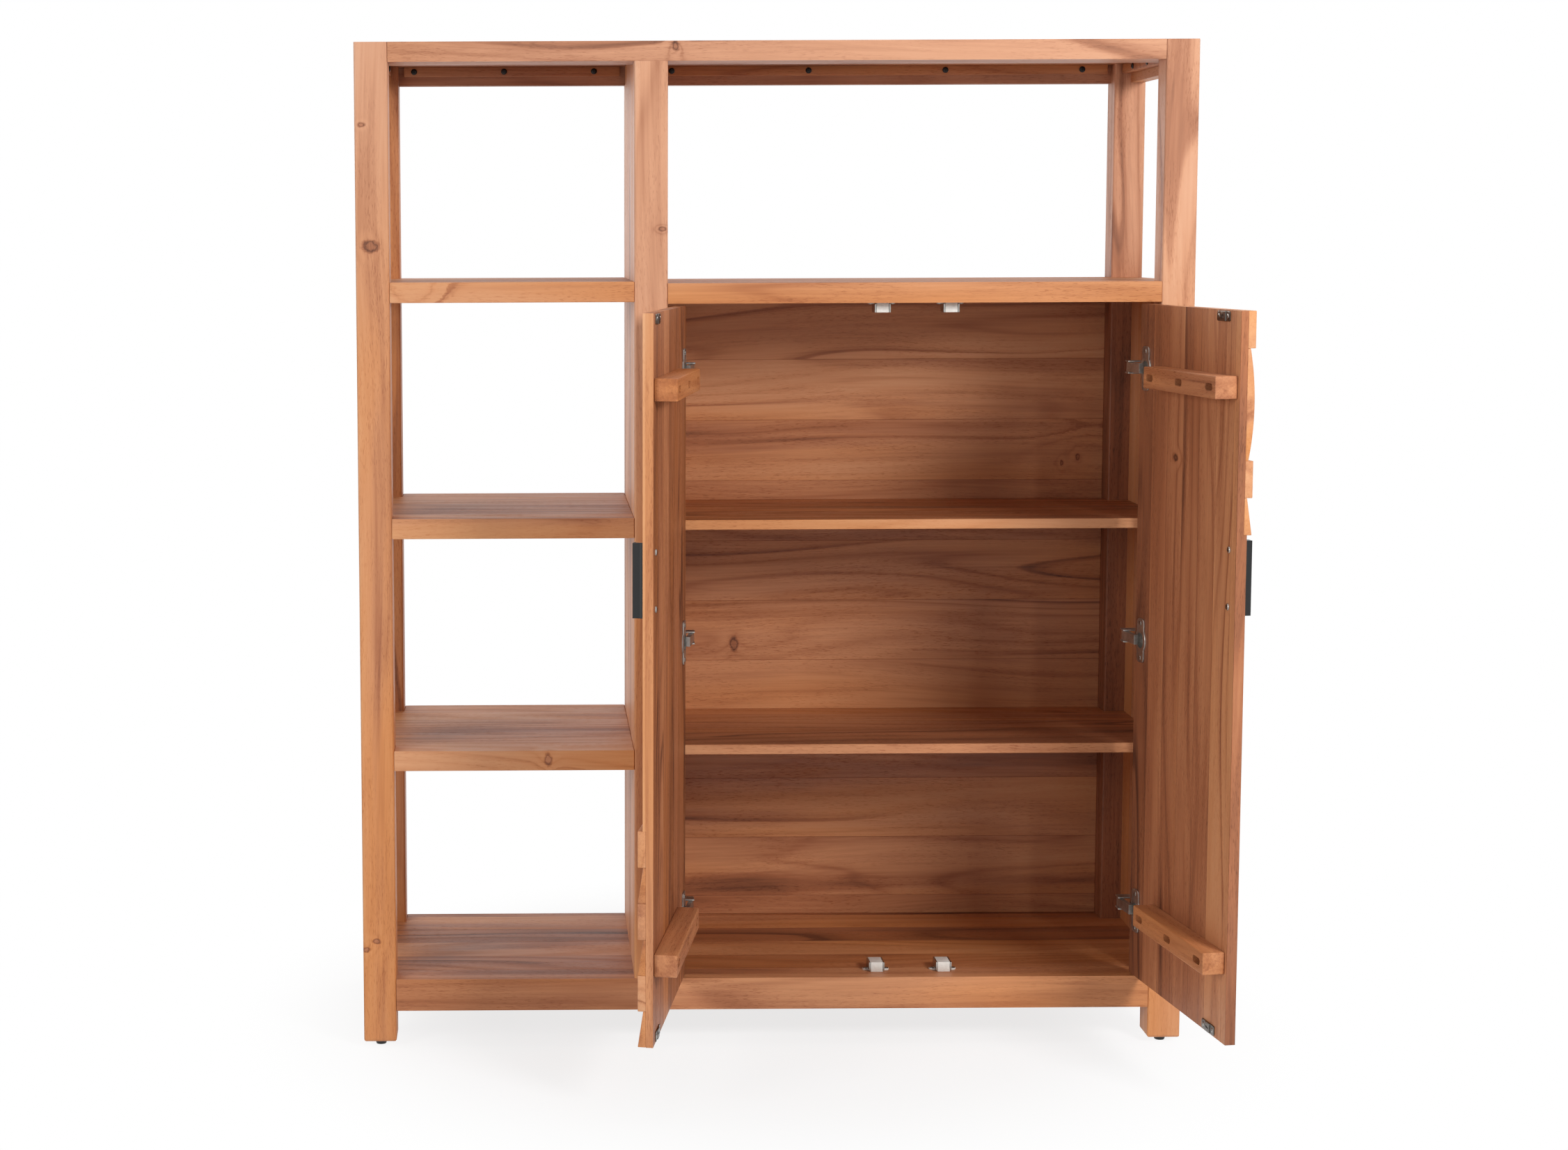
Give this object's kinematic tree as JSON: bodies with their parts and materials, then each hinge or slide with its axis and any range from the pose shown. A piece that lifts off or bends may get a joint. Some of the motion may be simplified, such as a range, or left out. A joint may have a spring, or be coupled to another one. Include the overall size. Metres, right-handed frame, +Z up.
{
  "type": "highboard",
  "caption": "Solid wood highboard: open shelf column beside an open top bay and a cabinet with relief-blocked doors on concealed hinges.",
  "frame": {"origin": "centre of the carcass's footprint, on the floor under the glides", "axes": "+X to the viewer's right, +Y from the front to the back, +Z up"},
  "size_m": [1.1504, 0.6711, 1.4],
  "materials": {
    "post_wood": "oiled, satin",
    "rail_wood": "oiled, satin",
    "shelf_wood": "oiled, satin",
    "panel_wood": "oiled, satin",
    "door_wood": "oiled, satin",
    "relief_wood": "oiled, satin",
    "batten_wood": "oiled, satin",
    "dowel_wood": "plain beech",
    "nickel_steel": "nickel plated",
    "black_steel": "black oxide",
    "handle_black": "matt black",
    "white_plastic": "moulded",
    "glide_black": "moulded"
  },
  "bodies": {
    "carcass": {"back_panel": "panel_wood", "bottom_front_rail": "rail_wood", "bottom_left_rail": "rail_wood", "bottom_panel": "panel_wood", "bottom_rear_rail": "rail_wood", "bottom_right_rail": "rail_wood", "cabinet_lower_shelf": "shelf_wood", "cabinet_top_shelf": "shelf_wood", "cabinet_upper_shelf": "shelf_wood", "catch_housings": "white_plastic", "catch_poles": "nickel_steel", "cleat_screws": "black_steel", "fitting_screws": "nickel_steel", "front_left_glide": "glide_black", "front_left_post": "post_wood", "front_middle_post": "post_wood", "front_right_glide": "glide_black", "front_right_post": "post_wood", "hinge_pins": "nickel_steel", "hinge_plates": "nickel_steel", "left_hinge_arms": "nickel_steel", "left_lower_shelf": "shelf_wood", "left_middle_shelf": "shelf_wood", "left_upper_shelf": "shelf_wood", "middle_divider": "panel_wood", "rail_dowels": "dowel_wood", "rear_left_glide": "glide_black", "rear_left_post": "post_wood", "rear_middle_post": "post_wood", "rear_right_glide": "glide_black", "rear_right_post": "post_wood", "right_hinge_arms": "nickel_steel", "right_side_panel": "panel_wood", "top_cleats": "rail_wood", "top_front_rail": "rail_wood", "top_left_rail": "rail_wood", "top_panel": "panel_wood", "top_rear_rail": "rail_wood", "top_right_rail": "rail_wood"},
    "left_door": {"left_door_board": "door_wood", "left_door_handle": "handle_black", "left_door_hinge_cups": "nickel_steel", "left_door_lower_batten": "batten_wood", "left_door_pan_screws": "nickel_steel", "left_door_relief": "relief_wood", "left_door_small_screws": "nickel_steel", "left_door_strikes": "nickel_steel", "left_door_upper_batten": "batten_wood"},
    "right_door": {"right_door_board": "door_wood", "right_door_handle": "handle_black", "right_door_hinge_cups": "nickel_steel", "right_door_lower_batten": "batten_wood", "right_door_pan_screws": "nickel_steel", "right_door_relief": "relief_wood", "right_door_small_screws": "nickel_steel", "right_door_strikes": "nickel_steel", "right_door_upper_batten": "batten_wood"},
    "left_hinge_links": {"left_hinge_links": "nickel_steel"},
    "right_hinge_links": {"right_hinge_links": "nickel_steel"}
  },
  "joints": [
    {"name": "left_door_hinge", "type": "hinge", "parent": "carcass", "child": "left_door", "pos_m": [-0.139, -0.169, 0.571], "axis": [0, 0, -1], "range_deg": [-100.6, 0]},
    {"name": "left_link_pin", "type": "hinge", "parent": "carcass", "child": "left_hinge_links", "pos_m": [-0.11231, -0.14, 0.571], "axis": [0, 0, -1], "range_deg": [-100.6, 0]},
    {"name": "right_door_hinge", "type": "hinge", "parent": "carcass", "child": "right_door", "pos_m": [0.52, -0.169, 0.571], "axis": [0, 0, 1], "range_deg": [-97.8, 0]},
    {"name": "right_link_pin", "type": "hinge", "parent": "carcass", "child": "right_hinge_links", "pos_m": [0.49493, -0.14, 0.571], "axis": [0, 0, 1], "range_deg": [-97.8, 0]}
  ],
  "couplings": [
    {"joint": "left_link_pin", "follows": "left_door_hinge", "ratio": 1},
    {"joint": "right_link_pin", "follows": "right_door_hinge", "ratio": 1}
  ]
}
